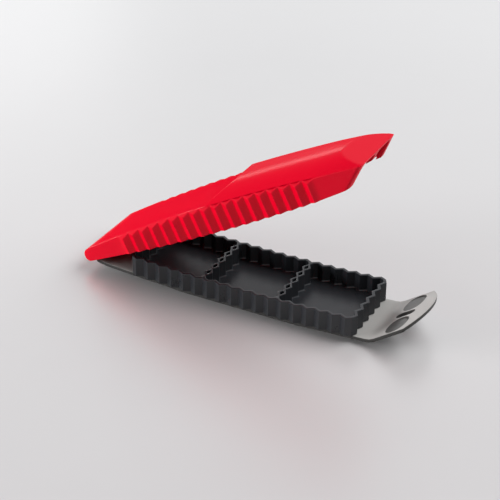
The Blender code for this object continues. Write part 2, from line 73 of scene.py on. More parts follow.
def solve(error, low, high):
    # where the error changes its sign
    for _ in range(48):
        middle = (low + high) / 2
        if error(low) * error(middle) <= 0:
            high = middle
        else:
            low = middle
    return (low + high) / 2


# Node trees, for geometry and for finishes alike


class Term:
    def __init__(self, net, socket):
        self.net = net
        self.socket = socket

    def __add__(self, other):
        return self.net.maths("ADD", self, other)

    def __radd__(self, other):
        return self.net.maths("ADD", other, self)

    def __sub__(self, other):
        return self.net.maths("SUBTRACT", self, other)

    def __rsub__(self, other):
        return self.net.maths("SUBTRACT", other, self)

    def __mul__(self, other):
        return self.net.maths("MULTIPLY", self, other)

    def __rmul__(self, other):
        return self.net.maths("MULTIPLY", other, self)

    def __truediv__(self, other):
        return self.net.maths("DIVIDE", self, other)

    def output(self, key):
        # another output of the same node
        return Term(self.net, self.socket.node.outputs[key])


class Net:
    def __init__(self, tree):
        self.tree = tree

    def node(self, kind, settings=None, sockets=None, output=0):
        made = self.tree.nodes.new(kind)
        for key, value in (settings or {}).items():
            setattr(made, key, value)
        for key, value in (sockets or {}).items():
            if isinstance(value, Term):
                self.tree.links.new(value.socket, made.inputs[key])
            else:
                made.inputs[key].default_value = value
        return Term(self, made.outputs[output])

    def feed(self, term, node, key):
        self.tree.links.new(term.socket, node.inputs[key])

    def maths(self, operation, first, second=0.0, **settings):
        return self.node("ShaderNodeMath", {"operation": operation, **settings}, {0: first, 1: second})


def startTree(name, given, sizes):
    # a geometry tree with one mesh or point input and one input for each size
    tree = bpy.data.node_groups.new(name, "GeometryNodeTree")
    tree.interface.new_socket(given, in_out="INPUT", socket_type="NodeSocketGeometry")
    for label, value in sizes.items():
        socket = tree.interface.new_socket(label, in_out="INPUT", socket_type="NodeSocketFloat")
        socket.default_value = value
    tree.interface.new_socket("Geometry", in_out="OUTPUT", socket_type="NodeSocketGeometry")
    net = Net(tree)
    entry = net.node("NodeGroupInput")
    return net, [entry.output(i) for i in range(len(sizes) + 1)]


def endTree(net, geometry, material):
    real = net.node("GeometryNodeRealizeInstances", None, {"Geometry": geometry})
    painted = net.node("GeometryNodeSetMaterial", None, {"Geometry": real, "Material": material})
    net.feed(painted, net.tree.nodes.new("NodeGroupOutput"), 0)
    return net.tree


# Meshes drawn as rings of points

drawing = {"gridClear": 0.3, "weld": 0.000002, "tolerance": 0.000001, "sharpDegrees": 38.0}
hole = {"recess": 2.4, "straight": 0.75, "end": 1.3, "depth": 1.7}  # where the screws go in


def circle(x, y, radius, steps=28):
    turns = [2 * math.pi * i / steps for i in range(steps)]
    return [(x + radius * math.cos(turn), y + radius * math.sin(turn)) for turn in turns]


def roundUnit(power, steps):
    # unit outline: power 1 gives a diamond, 2 a circle, more comes near a box
    points = []
    for u, v in circle(0.0, 0.0, 1.0, steps):
        size = 1 / (abs(u) ** power + abs(v) ** power) ** (1 / power)
        points.append((u * size, v * size))
    return points


class Draft:
    def __init__(self):
        self.points = []
        self.along = []
        self.outward = []
        self.faces = []
        self.shade = {}

    def point(self, x, y, z, along=0.0, outward=(0.0, 0.0)):
        self.points.append((x, y, z))
        self.along.append(along)
        self.outward.append(outward)
        return len(self.points) - 1

    def ring(self, samples):
        return [self.point(*sample) for sample in samples]

    def bridge(self, first, second):
        count = len(first)
        for i in range(count):
            j = (i + 1) % count
            self.faces.append((first[i], first[j], second[j], second[i]))

    def stack(self, rings):
        for first, second in zip(rings, rings[1:]):
            self.bridge(first, second)

    def settled(self, index):
        # where a point lies once the teeth are out
        x, y, _ = self.points[index]
        rise = toothHeight(self.along[index])
        return x + self.outward[index][0] * rise, y + self.outward[index][1] * rise

    def cap(self, rings, height=None, step=0.0, creases=()):
        # fills the face between rings; step sets a grid of inner points, creases are loops in it
        loops = [np.array([self.settled(i) for i in ring]) for ring in rings]
        ids = [i for ring in rings for i in ring]
        coords = [Vector(p) for loop in loops for p in loop]
        edges = []
        start = 0
        for loop in [*rings, *creases]:
            count = len(loop)
            edges += [(start + i, start + (i + 1) % count) for i in range(count)]
            start += count
        for x, y in [place for crease in creases for place in crease]:
            coords.append(Vector((x, y)))
            ids.append(self.point(x, y, height(x, y)))
        if step:
            taken = np.array([tuple(c) for c in coords])
            low = loops[0].min(axis=0)
            high = loops[0].max(axis=0)
            xs = np.linspace(low[0], high[0], max(2, round((high[0] - low[0]) / step)) + 1)[1:-1]
            ys = np.linspace(low[1], high[1], max(2, round((high[1] - low[1]) / step)) + 1)[1:-1]
            grid = np.array([(x, y) for x in xs for y in ys])
            grid = grid[inside(grid, loops)]
            for x, y in grid:
                if np.hypot(taken[:, 0] - x, taken[:, 1] - y).min() > step * drawing["gridClear"]:
                    coords.append(Vector((x, y)))
                    ids.append(self.point(float(x), float(y), height(float(x), float(y))))
        flat, _, faces, origins, _, _ = delaunay_2d_cdt(coords, edges, [], 0, drawing["tolerance"])
        centres = np.array([[sum(flat[i][k] for i in face) / len(face) for k in (0, 1)] for face in faces])
        for face, wanted in zip(faces, inside(centres, loops)):
            if wanted and all(origins[i] for i in face):
                self.faces.append(tuple(ids[origins[i][0]] for i in face))

    def tube(self, profile, place, steps, closed=False):
        # turned body along y: profile is (radius, distance along the axis)
        rings = []
        for radius, far in profile:
            turned = circle(place[0], place[2], radius, steps)
            rings.append(self.ring([(x, place[1] + far, z) for x, z in turned]))
        self.stack(rings)
        if closed:
            self.bridge(rings[-1], rings[0])
        else:
            self.faces.append(tuple(rings[0]))
            self.faces.append(tuple(rings[-1]))

    def well(self, x, y, z, soft):
        # screw hole that opens downwards, gives its rim
        wide = hole["recess"]
        levels = ((wide + soft, 0.0), (wide, soft), (wide, hole["straight"]), (hole["end"], hole["depth"]))
        rings = []
        for radius, up in levels:
            rings.append(self.ring([(u, v, z + up) for u, v in circle(x, y, radius)]))
        self.stack(rings)
        self.faces.append(tuple(rings[-1]))
        return rings[0]

    def brick(self, low, high, bevel):
        # small block with chamfered upright edges
        x0, y0, z0 = low
        x1, y1, z1 = high
        outline = [
            (x0 + bevel, y0), (x1 - bevel, y0), (x1, y0 + bevel), (x1, y1 - bevel),
            (x1 - bevel, y1), (x0 + bevel, y1), (x0, y1 - bevel), (x0, y0 + bevel),
        ]
        rings = [self.ring([(x, y, z) for x, y in outline]) for z in (z0, z1)]
        self.stack(rings)
        self.faces.append(tuple(rings[0]))
        self.faces.append(tuple(rings[1]))


def inside(points, loops):
    # even-odd test of points against closed loops
    hits = np.zeros(len(points), dtype=int)
    for loop in loops:
        ahead = np.roll(loop, -1, axis=0)
        for (x0, y0), (x1, y1) in zip(loop, ahead):
            if y0 == y1:
                continue
            across = (points[:, 1] > min(y0, y1)) & (points[:, 1] <= max(y0, y1))
            cut = x0 + (points[:, 1] - y0) * (x1 - x0) / (y1 - y0)
            hits += across & (points[:, 0] < cut)
    return hits % 2 == 1


def toothTree(material):
    # pushes the drawn walls in and out into teeth
    sizes = {"Pitch": teeth["pitch"] * mm, "Depth": teeth["depth"] * mm, "Softness": teeth["softness"]}
    net, (geometry, pitch, depth, soft) = startTree("toothedWalls", "Geometry", sizes)
    along = net.node("GeometryNodeInputNamedAttribute", {"data_type": "FLOAT"}, {"Name": "along"})
    outward = net.node("GeometryNodeInputNamedAttribute", {"data_type": "FLOAT_VECTOR"}, {"Name": "outward"})
    phase = net.maths("FRACT", along / pitch) - 0.5
    rise = net.maths("ABSOLUTE", phase) * 2
    crest = net.maths("SQRT", rise * rise + soft * soft)
    back = 1 - rise
    valley = net.maths("SQRT", back * back + soft * soft)
    push = depth * (0.5 - (crest + 1 - valley) * 0.5)
    shift = net.node("ShaderNodeVectorMath", {"operation": "SCALE"}, {0: outward, "Scale": push})
    moved = net.node("GeometryNodeSetPosition", None, {"Geometry": geometry, "Offset": shift})
    return endTree(net, moved, material)


def applyTree(piece, tree, values=None):
    modifier = piece.modifiers.new("build", "NODES")
    modifier.node_group = tree
    for item in tree.interface.items_tree:
        if item.item_type == "SOCKET" and item.in_out == "INPUT" and item.name in (values or {}):
            modifier[item.identifier] = values[item.name]
    depsgraph = bpy.context.evaluated_depsgraph_get()
    plain = bpy.data.meshes.new_from_object(piece.evaluated_get(depsgraph))
    piece.modifiers.remove(modifier)
    piece.data = plain


def closeUp(piece, sharpDegrees=drawing["sharpDegrees"]):
    # welds what meets, turns the faces outwards and counts what is still open
    work = bmesh.new()
    work.from_mesh(piece.data)
    bmesh.ops.remove_doubles(work, verts=work.verts, dist=drawing["weld"])
    stray = [e for e in work.edges if not e.link_faces]
    bmesh.ops.delete(work, geom=stray, context="EDGES")
    loose = [v for v in work.verts if not v.link_faces]
    bmesh.ops.delete(work, geom=loose, context="VERTS")
    bmesh.ops.recalc_face_normals(work, faces=work.faces)
    openEdges = sum(1 for e in work.edges if len(e.link_faces) != 2)
    work.to_mesh(piece.data)
    work.free()
    piece.data.shade_smooth()
    piece.data.set_sharp_from_angle(angle=math.radians(sharpDegrees))
    print(piece.name, len(piece.data.polygons), "faces,", openEdges, "open edges")


def linked(name, data):
    made = bpy.data.objects.new(name, data)
    bpy.context.scene.collection.objects.link(made)
    return made


def meshPiece(name, points, faces):
    mesh = bpy.data.meshes.new(name)
    mesh.from_pydata([tuple(c * mm for c in p) for p in points], [], faces)
    return linked(name, mesh)


def drafted(name, draft, material, toothed=False):
    piece = meshPiece(name, draft.points, draft.faces)
    if toothed:
        mesh = piece.data
        along = mesh.attributes.new("along", "FLOAT", "POINT")
        along.data.foreach_set("value", [a * mm for a in draft.along])
        outward = mesh.attributes.new("outward", "FLOAT_VECTOR", "POINT")
        outward.data.foreach_set("vector", [c for x, y in draft.outward for c in (x, y, 0.0)])
        applyTree(piece, toothTree(material))
    if draft.shade:
        shade = piece.data.attributes.new("shade", "FLOAT", "POINT")
        shade.data.foreach_set("value", [draft.shade.get(i, 0.0) for i in range(len(draft.points))])
    piece.data.materials.clear()
    piece.data.materials.append(material)
    closeUp(piece)
    return piece


def openLid(piece):
    # lid pieces are drawn shut, then swung to the pose of rest
    hinge = Vector((rest["hingeX"] * mm, 0.0, rest["hingeZ"] * mm))
    turn = Matrix.Rotation(-math.radians(rest["openDegrees"]), 4, "Y")
    piece.data.transform(Matrix.Translation(hinge) @ turn @ Matrix.Translation(-hinge))


# Finishes


def finishBase(name, colour, roughness, metallic=0.0):
    material = bpy.data.materials.new(name)
    material.use_nodes = True
    net = Net(material.node_tree)
    shader = material.node_tree.nodes["Principled BSDF"]
    shader.inputs["Base Color"].default_value = (*colour, 1.0)
    shader.inputs["Roughness"].default_value = roughness
    shader.inputs["Metallic"].default_value = metallic
    place = net.node("ShaderNodeTexCoord", output=3)
    return material, net, shader, place


def noise(net, place, scale, detail, roughness):
    sockets = {"Vector": place, "Scale": scale, "Detail": detail, "Roughness": roughness}
    return net.node("ShaderNodeTexNoise", None, sockets)


def shadeMask(net):
    # each point's share from the shade attribute: painted shade on the tray, polish on the lid and grip
    return net.node("ShaderNodeAttribute", {"attribute_name": "shade"}, output=2)


def feedBump(net, shader, height, strength, depth):
    bump = net.node("ShaderNodeBump", None, {"Strength": strength, "Distance": depth, "Height": height})
    net.feed(bump, shader, "Normal")


def mixColour(net, amount, first, second):
    settings = {"data_type": "RGBA", "clamp_factor": True}
    return net.node("ShaderNodeMix", settings, {0: amount, 6: first, 7: second}, output=2)


def toned(colour, share):
    return (*[min(1.0, c * share) for c in colour], 1.0)


def mouldedPlastic(name, look):
    # faint flow marks in the colour, fine grain, polished by handling
    material, net, shader, place = finishBase(name, look["colour"], look["roughness"])
    shader.inputs["IOR"].default_value = 1.5
    shader.inputs["Specular IOR Level"].default_value = look["shine"]
    shader.inputs["Coat Weight"].default_value = look["coat"]
    shader.inputs["Coat Roughness"].default_value = look["coatRoughness"]
    flow = noise(net, place, look["flowScale"], 4.0, 0.6)
    grain = noise(net, place, look["grainScale"], 2.0, 0.5)
    smear = noise(net, place, look["smearScale"], 5.0, 0.65)
    base = look["colour"]
    colour = mixColour(net, flow, toned(base, 1 - look["flow"]), toned(base, 1 + look["flow"]))
    if "paintedShadeTone" in look:
        # painted shade: the tray's scoops, slot walls, side walls and underside are darkened in colour where
        # shade would fall
        colour = mixColour(net, shadeMask(net), colour, toned(base, look["paintedShadeTone"]))
    if "shadeCoat" in look:
        # the lid's sides and the grip's right cut are polished, the rest has a matt skin
        coat = look["coat"] + shadeMask(net) * (look["shadeCoat"] - look["coat"])
        net.feed(coat, shader, "Coat Weight")
    net.feed(colour, shader, "Base Color")
    roughness = look["roughness"] + (smear - 0.5) * look["smear"] + (grain - 0.5) * look["smear"] * 0.5
    net.feed(roughness, shader, "Roughness")
    feedBump(net, shader, grain, look["grain"], look["grainDepth"])
    return material


def steelFinish(name, look):
    material, net, shader, place = finishBase(name, look["colour"], look["roughness"], 1.0)
    # lines that run along the pin
    brushed = net.node("ShaderNodeMapping", None, {"Vector": place, "Scale": (1.0, look["lineStretch"], 1.0)})
    lines = noise(net, brushed, look["lineScale"], 3.0, 0.6)
    net.feed(look["roughness"] + (lines - 0.5) * look["lineStrength"], shader, "Roughness")
    feedBump(net, shader, lines, look["lineStrength"], look["lineDepth"])
    return material


redLook = {
    "colour": (0.69, 0.0016, 0.018), "roughness": 0.4, "shine": 0.0, "coat": 0.015, "shadeCoat": 0.24,
    "coatRoughness": 0.12, "flow": 0.04, "flowScale": 22.0, "grain": 0.12, "grainScale": 1400.0,
    "grainDepth": 0.0001, "smear": 0.12, "smearScale": 55.0,
}
gripLook = {**redLook, "coat": 0.1, "shadeCoat": 0.28, "coatRoughness": 0.17}
darkLook = {
    "colour": (0.0155, 0.017, 0.02), "roughness": 0.3, "shine": 0.5, "coat": 0.0, "coatRoughness": 0.2,
    "flow": 0.1, "flowScale": 30.0, "grain": 0.18, "grainScale": 1600.0, "grainDepth": 0.0001,
    "smear": 0.14, "smearScale": 70.0,
}
# the grey's shade tone darkens the tray's marked points as painted shade
greyLook = {
    "colour": (0.33, 0.325, 0.315), "roughness": 0.42, "shine": 0.12, "coat": 0.0, "coatRoughness": 0.2,
    "paintedShadeTone": 0.17, "flow": 0.06, "flowScale": 26.0, "grain": 0.25, "grainScale": 1500.0,
    "grainDepth": 0.0001, "smear": 0.14, "smearScale": 60.0,
}
steelLook = {
    "colour": (0.62, 0.62, 0.64), "roughness": 0.28,
    "lineScale": 900.0, "lineStretch": 0.08, "lineStrength": 0.25, "lineDepth": 0.00003,
}

redPlastic = mouldedPlastic("redPlastic", redLook)
gripPlastic = mouldedPlastic("gripPlastic", gripLook)
darkPlastic = mouldedPlastic("anthracitePlastic", darkLook)
greyPlastic = mouldedPlastic("greyPlastic", greyLook)
plainSteel = steelFinish("plainSteel", steelLook)
print("finishes ready")


# The three cells with their toothed walls

cutters = {
    "base": 2.5, "height": 12.0, "floor": 1.6, "outset": 0.4, "inset": 1.6, "rim": 0.28,
    "floorFillet": 1.0, "lowerEdge": 0.25, "loop": 0.5,
    "pocketX": 1.25, "pocketY": 2.5, "pocketDepth": 6.0, "pocketEdge": 0.16, "pocketPower": 1.15,
}


def cornerReach(half, level):
    # where the teeth of two sides meet at a corner
    near = teeth["pitch"] / 2 - 0.1
    return half + solve(lambda along: along - level - toothHeight(along), -near, near)


def sideRun(half, corner):
    pitch = teeth["pitch"]
    crest = half - pitch / 2
    count = round(2 * crest / pitch)
    run = [-crest + pitch * (i + s) for i in range(count) for s in toothShares] + [crest]
    tail = [crest + (corner - crest) * s for s in cornerShares]
    return [-v for v in reversed(tail)] + run + tail


def toothedRing(centre, halfX, halfY, level, height):
    cornerX = cornerReach(halfX, level)
    cornerY = cornerReach(halfY, level)
    alongX = sideRun(halfX, cornerX)
    alongY = sideRun(halfY, cornerY)[1:-1]
    # x, y, place along the teeth, which way they point
    samples = [(v, -halfY - level, v, (0, -1)) for v in alongX]
    samples += [(halfX + level, v, v, (1, 0)) for v in alongY]
    samples += [(-v, halfY + level, v, (0, 1)) for v in alongX]
    samples += [(-halfX - level, -v, v, (-1, 0)) for v in alongY]
    return [(centre + x, y, height + rocker(centre + x), a, o) for x, y, a, o in samples]


def pocketRing(x, y, halfX, halfY, height):
    # diamond with rounded corners
    outline = roundUnit(cutters["pocketPower"], 24)
    return [(x + halfX * u, y + halfY * v, height + rocker(x)) for u, v in outline]


def buildCutters():
    draft = Draft()
    rim = cutters["rim"]
    loop = cutters["loop"]
    base = cutters["base"]
    lowerEdge = cutters["lowerEdge"]
    top = base + cutters["height"]
    face = cutters["outset"]
    outer = [
        (face - lowerEdge, base), (face, base + lowerEdge), (face, base + 0.7), (face, top - rim - loop),
        (face, top - rim), (face - rim * midTurn, top - rim * midTurn), (face - rim, top),
    ]
    rings = [draft.ring(toothedRing(0.0, rowHalf, cellHalf, level, z)) for level, z in outer]
    draft.stack(rings)
    draft.cap([rings[0]], lambda x, y: base + rocker(x), 6.0)
    rims = [rings[-1]]
    floor = base + cutters["floor"]
    fillet = cutters["floorFillet"]
    face = -cutters["inset"]
    inner = [
        (face + rim, top), (face + rim * midTurn, top - rim * midTurn), (face, top - rim),
        (face, top - rim - loop), (face, floor + fillet + loop), (face, floor + fillet),
        (face - fillet * 0.13, floor + fillet * 0.5), (face - fillet * 0.5, floor + fillet * 0.13),
        (face - fillet, floor),
    ]
    for centre in cellCentres:
        rings = [draft.ring(toothedRing(centre, cellHalf, cellHalf, level, z)) for level, z in inner]
        draft.stack(rings)
        draft.cap([rings[-1]], lambda x, y: floor + rocker(x), 4.0)
        rims.append(rings[0])
    edge = cutters["pocketEdge"]
    bottom = top - cutters["pocketDepth"]
    pocket = [
        (edge, top), (0.05, top - 0.05), (0.0, top - edge), (0.0, top - loop), (0.0, bottom), (-0.3, bottom),
    ]
    for x in wallCentres:
        for i in range(1, teeth["perCell"]):
            y = -cellHalf + teeth["pitch"] * i
            rings = []
            for grow, z in pocket:
                ring = pocketRing(x, y, cutters["pocketX"] + grow, cutters["pocketY"] + grow, z)
                rings.append(draft.ring(ring))
            draft.stack(rings)
            draft.faces.append(tuple(rings[-1]))
            rims.append(rings[0])
    draft.cap(rims)
    piece = drafted("toothedCells", draft, darkPlastic, toothed=True)
    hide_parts("cutter_frame")
    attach(piece, "tray")


buildCutters()
print("cells ready")


# The tray with its heel, tongue and hinge knuckle

tray = {
    "thickness": 2.2, "halfWidth": 22.5, "left": -99.3, "stand": 40.0, "heelStart": -90.0, "heelRise": 1.0,
    "rampStart": 82.2, "rampDegrees": 35.0, "shoulder": 101.5, "tip": 109.5, "bend": 5.0, "edge": 0.3,
    "corner": 3.0, "slotStart": 88.6, "slotEnd": 99.2, "slotWidth": 5.2, "slotEdge": (0.25, 0.07),
    "knuckleRadius": 3.2, "knuckleHalf": 9.6, "knuckleEdge": 0.3, "boreRadius": 1.8, "screwY": 8.0,
    "runOut": 6.0, "turnShift": 1.0, "turnReach": 3.0, "turnSoft": 0.8, "turnDrop": 0.02,
    "tipCut": 1.2, "tipBack": 1.6, "tipSoft": (0.55, 0.22), "paintedSideShade": 1.2,
}
scoop = {
    "x": 94.3, "y": 12.8, "halfLength": 5.7, "halfWidth": 8.8, "floorDegrees": 29.0, "wall": 0.6,
    "round": 2.3, "shadeTo": 0.98, "loops": (1.0, 0.975, 0.935, 0.89, 0.6),
}
rampSlope = math.tan(math.radians(tray["rampDegrees"]))


def flatTop(x):
    heel = max(0.0, (tray["heelStart"] - x) / (tray["heelStart"] - tray["left"])) * tray["heelRise"]
    return tray["thickness"] + rocker(x) + heel


def rampTop(x):
    return flatTop(tray["rampStart"]) + rampSlope * (x - tray["rampStart"])


def trayTop(x, y=0.0):
    # flat run and ramp, with a rounded bend between them
    start = tray["rampStart"]
    bend = tray["bend"]
    if x < start - bend / 2:
        return flatTop(x)
    if x > start + bend / 2:
        return rampTop(x) - scoopDepth(x, y)
    share = (x - start + bend / 2) / bend
    low = flatTop(start - bend / 2)
    slope = rocker(start - bend / 2 + 0.5) - rocker(start - bend / 2 - 0.5)
    return low + bend * (slope * share + (rampSlope - slope) * share * share / 2)


def scoopReach(x, y):
    u = abs(x - scoop["x"]) / scoop["halfLength"]
    v = abs(abs(y) - scoop["y"]) / scoop["halfWidth"]
    return (u ** scoop["round"] + v ** scoop["round"]) ** (1 / scoop["round"])


def scoopDepth(x, y):
    reach = scoopReach(x, y)
    if reach >= 1:
        return 0.0
    low = scoop["x"] - scoop["halfLength"]
    full = (rampSlope - math.tan(math.radians(scoop["floorDegrees"]))) * (x - low)
    edge = min(1.0, (1 - reach) * scoop["halfLength"] / scoop["wall"])
    return full * (1 - (1 - edge) ** 2)


def trayUnder(x):
    # flat where it stands, then along the top face, with a soft turn under the ramp
    if abs(x) <= tray["stand"]:
        return 0.0
    start = tray["rampStart"] + tray["turnShift"]
    if x > start - tray["turnReach"]:
        slant = rampTop(x) - tray["thickness"] / math.cos(math.radians(tray["rampDegrees"]))
        plain = flatTop(min(x, start + tray["turnReach"])) - tray["thickness"]
        gap = slant - plain
        return plain + 0.5 * (gap + math.hypot(gap, tray["turnSoft"])) - tray["turnDrop"]
    lift = min(1.0, (abs(x) - tray["stand"]) / tray["runOut"])
    return (flatTop(x) - tray["thickness"]) * lift


def trayOutline(inset):
    # straight sides with a rounded left end and an arc for the tip
    half = tray["halfWidth"] - inset
    left = tray["left"] + inset
    reach = tray["tip"] - tray["shoulder"]
    radius = (tray["halfWidth"] ** 2 + reach ** 2) / (2 * reach)
    centre = tray["tip"] - radius
    radius -= inset
    corner = tray["corner"]

    def leftCorner(side, begin):
        turns = [math.pi * (begin + 0.5 * i / 5) for i in range(6)]
        centreY = side * (half - corner)
        return [(left + corner + corner * math.cos(t), centreY + corner * math.sin(t)) for t in turns]

    points = leftCorner(-1, 1.0)
    spread = math.asin(min(1.0, (half - tray["tipCut"]) / radius))
    shoulderX = centre + radius * math.cos(spread)
    back, down = tray["tipSoft"]
    stops = np.linspace(left + corner, shoulderX - tray["tipBack"], 74)[1:]
    points += [(float(x), -half) for x in stops]
    points += [(shoulderX - back, -half + down)]
    for i in range(41):
        angle = -spread + 2 * spread * i / 40
        points.append((centre + radius * math.cos(angle), radius * math.sin(angle)))
    points += [(shoulderX - back, half - down)]
    points += [(float(x), half) for x in reversed(stops)]
    return points + leftCorner(1, 0.5)


def slotOutline(grow):
    middle = tray["slotWidth"] / 2
    half = middle + grow
    points = []
    for centre, begin in ((tray["slotEnd"] - middle, -90), (tray["slotStart"] + middle, 90)):
        for i in range(13):
            angle = math.radians(begin + 15 * i)
            points.append((centre + half * math.cos(angle), half * math.sin(angle)))
    return points


def plateRings(draft, outline, edge, middle):
    # the edge of the plate from its top face down to its underside, rounded in two steps
    rings = []
    for inset, drop in ((edge, 0.0), (middle, middle), (0.0, edge)):
        rings.append(draft.ring([(x, y, trayTop(x, y) - drop) for x, y in outline(inset)]))
    for inset, drop in ((0.0, edge), (middle, middle), (edge, 0.0)):
        rings.append(draft.ring([(x, y, trayUnder(x) + drop) for x, y in outline(inset)]))
    draft.stack(rings)
    return rings


def buildTray():
    draft = Draft()
    rings = plateRings(draft, trayOutline, tray["edge"], tray["edge"] * midTurn)
    slot = plateRings(draft, slotOutline, *tray["slotEdge"])
    # painted shade: the plate's side walls, slot walls and underside are marked to be darkened in colour
    darker = [i for ring in rings[2:] + slot[1:5] for i in ring]
    creases = []
    for side in (-1, 1):
        for share in scoop["loops"]:
            loop = []
            for u, v in roundUnit(scoop["round"], 72):
                x = scoop["x"] + scoop["halfLength"] * share * u
                loop.append((x, side * scoop["y"] + scoop["halfWidth"] * share * v))
            creases.append(loop)
    first = len(draft.points)
    draft.cap([rings[0], slot[0]], trayTop, 2.4, creases)
    # painted shade: points in the thumb scoops are marked to be darkened in colour
    for i in range(first, len(draft.points)):
        draft.shade[i] = 1.0 if scoopReach(*draft.points[i][:2]) < scoop["shadeTo"] else 0.0
    holes = [draft.well(x, y, 0.0, 0.2) for x in wallCentres for y in (-tray["screwY"], tray["screwY"])]
    first = len(draft.points)
    draft.cap([rings[-1], slot[-1]] + holes, lambda x, y: trayUnder(x), 4.0)
    # painted shade on the side walls, slot walls and underside
    for i in darker + list(range(first, len(draft.points))):
        draft.shade[i] = tray["paintedSideShade"]
    # knuckle on a web, bored for the pin
    half = tray["knuckleHalf"]
    outer = tray["knuckleRadius"]
    bore = tray["boreRadius"]
    edge = tray["knuckleEdge"]
    profile = [
        (bore, -half + edge), (bore + edge, -half), (outer - edge, -half), (outer, -half + edge),
        (outer, half - edge), (outer - edge, half), (bore + edge, half), (bore, half - edge),
    ]
    x = rest["hingeX"]
    draft.tube(profile, (x, 0.0, rest["hingeZ"]), 44, closed=True)
    foot = flatTop(x)
    rings = []
    web = ((3.4, foot - 0.6), (2.9, foot + 0.25), (2.5, foot + 0.9), (2.3, rest["hingeZ"] - outer * 0.72))
    for wide, z in web:
        outline = ((x - wide, -half), (x + wide, -half), (x + wide, half), (x - wide, half))
        rings.append(draft.ring([(u, v, z) for u, v in outline]))
    draft.stack(rings)
    draft.faces.append(tuple(rings[0]))
    draft.faces.append(tuple(rings[-1]))
    piece = drafted("tray", draft, greyPlastic)
    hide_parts("base_tray")
    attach(piece, "tray")


buildTray()
print("tray ready")


# The red lid: fluted sides, smooth nose, sloping end with two notches

lid = {
    "lift": 7.0, "height": 16.0, "crown": 0.0004, "lean": 0.009, "wall": 1.8, "clearance": 0.8,
    "left": -102.95, "halfWidth": 26.4, "endHalfWidth": 23.4, "draft": 0.7, "edge": 0.5,
    "nose": 3.4, "noseCorner": 0.9, "flats": (1.4, 2.4), "endWall": 2.2, "rampGap": 0.6,
    "endDegrees": 38.7, "endCorner": 3.2, "notchInner": 2.2, "notchOuter": 18.6, "notchLip": 1.1,
    "notchRound": 3.0, "notchRise": 0.55, "notchFirst": 0.3, "notchStep": 0.12, "endDrop": 6.0,
    "ribShare": 0.52, "shoulder": 25.0, "shoulderSlope": 0.75, "shoulderReach": 4.0,
    "earInner": 10.2, "earLength": 5.6, "earRadius": 3.0, "earWeb": 4.4, "boreRadius": 1.8, "earCover": 0.9,
}


def lidUnder(x):
    return lid["lift"] + rocker(x)


def lidTop(x):
    return lid["lift"] + lid["height"] - lid["crown"] * x * x + lid["lean"] * x


def rampGap(x):
    return rampTop(x) + lid["rampGap"] / math.cos(math.radians(tray["rampDegrees"]))


def endPlane(x, thick):
    angle = math.radians(lid["endDegrees"])
    return rampGap(footX) + math.tan(angle) * (x - footX) + thick / math.cos(angle)


def lidHeight(x, share, ceiling):
    return lidUnder(x) + share * (lidTop(x) - ceiling - lidUnder(x))


def endReach(share, thick, ceiling):
    return solve(lambda x: lidHeight(x, share, ceiling) - endPlane(x, thick), 60.0, 125.0)


footX = solve(lambda x: lidUnder(x) - rampGap(x), 60.0, 102.6)
rimX = endReach(1.0, 0.0, 0.0)


def notchShare(y):
    # how far up the sloping end its lower edge lies, as a share of its height
    fromRib = abs(y) - lid["notchInner"]
    fromSide = lid["notchOuter"] - abs(y)
    low = lid["ribShare"] if fromRib < fromSide else 0.0
    gap = min(fromRib, fromSide)
    if gap <= 0:
        return low
    high = 1 - lid["notchLip"] / (lid["height"] - lid["endDrop"])
    reach = min(1.0, gap / lid["notchRound"])
    rise = lid["notchFirst"]
    if gap > lid["notchStep"]:
        rise = lid["notchRise"] + (1 - lid["notchRise"]) * math.sqrt(1 - (1 - reach) ** 2)
    return low + (high - low) * rise


def endWidths():
    inner, outer = lid["notchInner"], lid["notchOuter"]
    near = (0.0, 0.14, 0.5, 1.1, 2.0, 3.2)  # close together where a notch begins
    steps = [0.0, 0.6, inner - 0.3] + [inner + v for v in near] + [8.0, 10.4, 12.8]
    steps += [outer - v for v in reversed(near)] + [outer + 0.8]
    return [-v for v in reversed(steps[1:])] + steps


def shoulderDrop(y):
    # the top falls away towards the tooth tips
    return lid["shoulderSlope"] * max(0.0, abs(y) - lid["shoulder"])


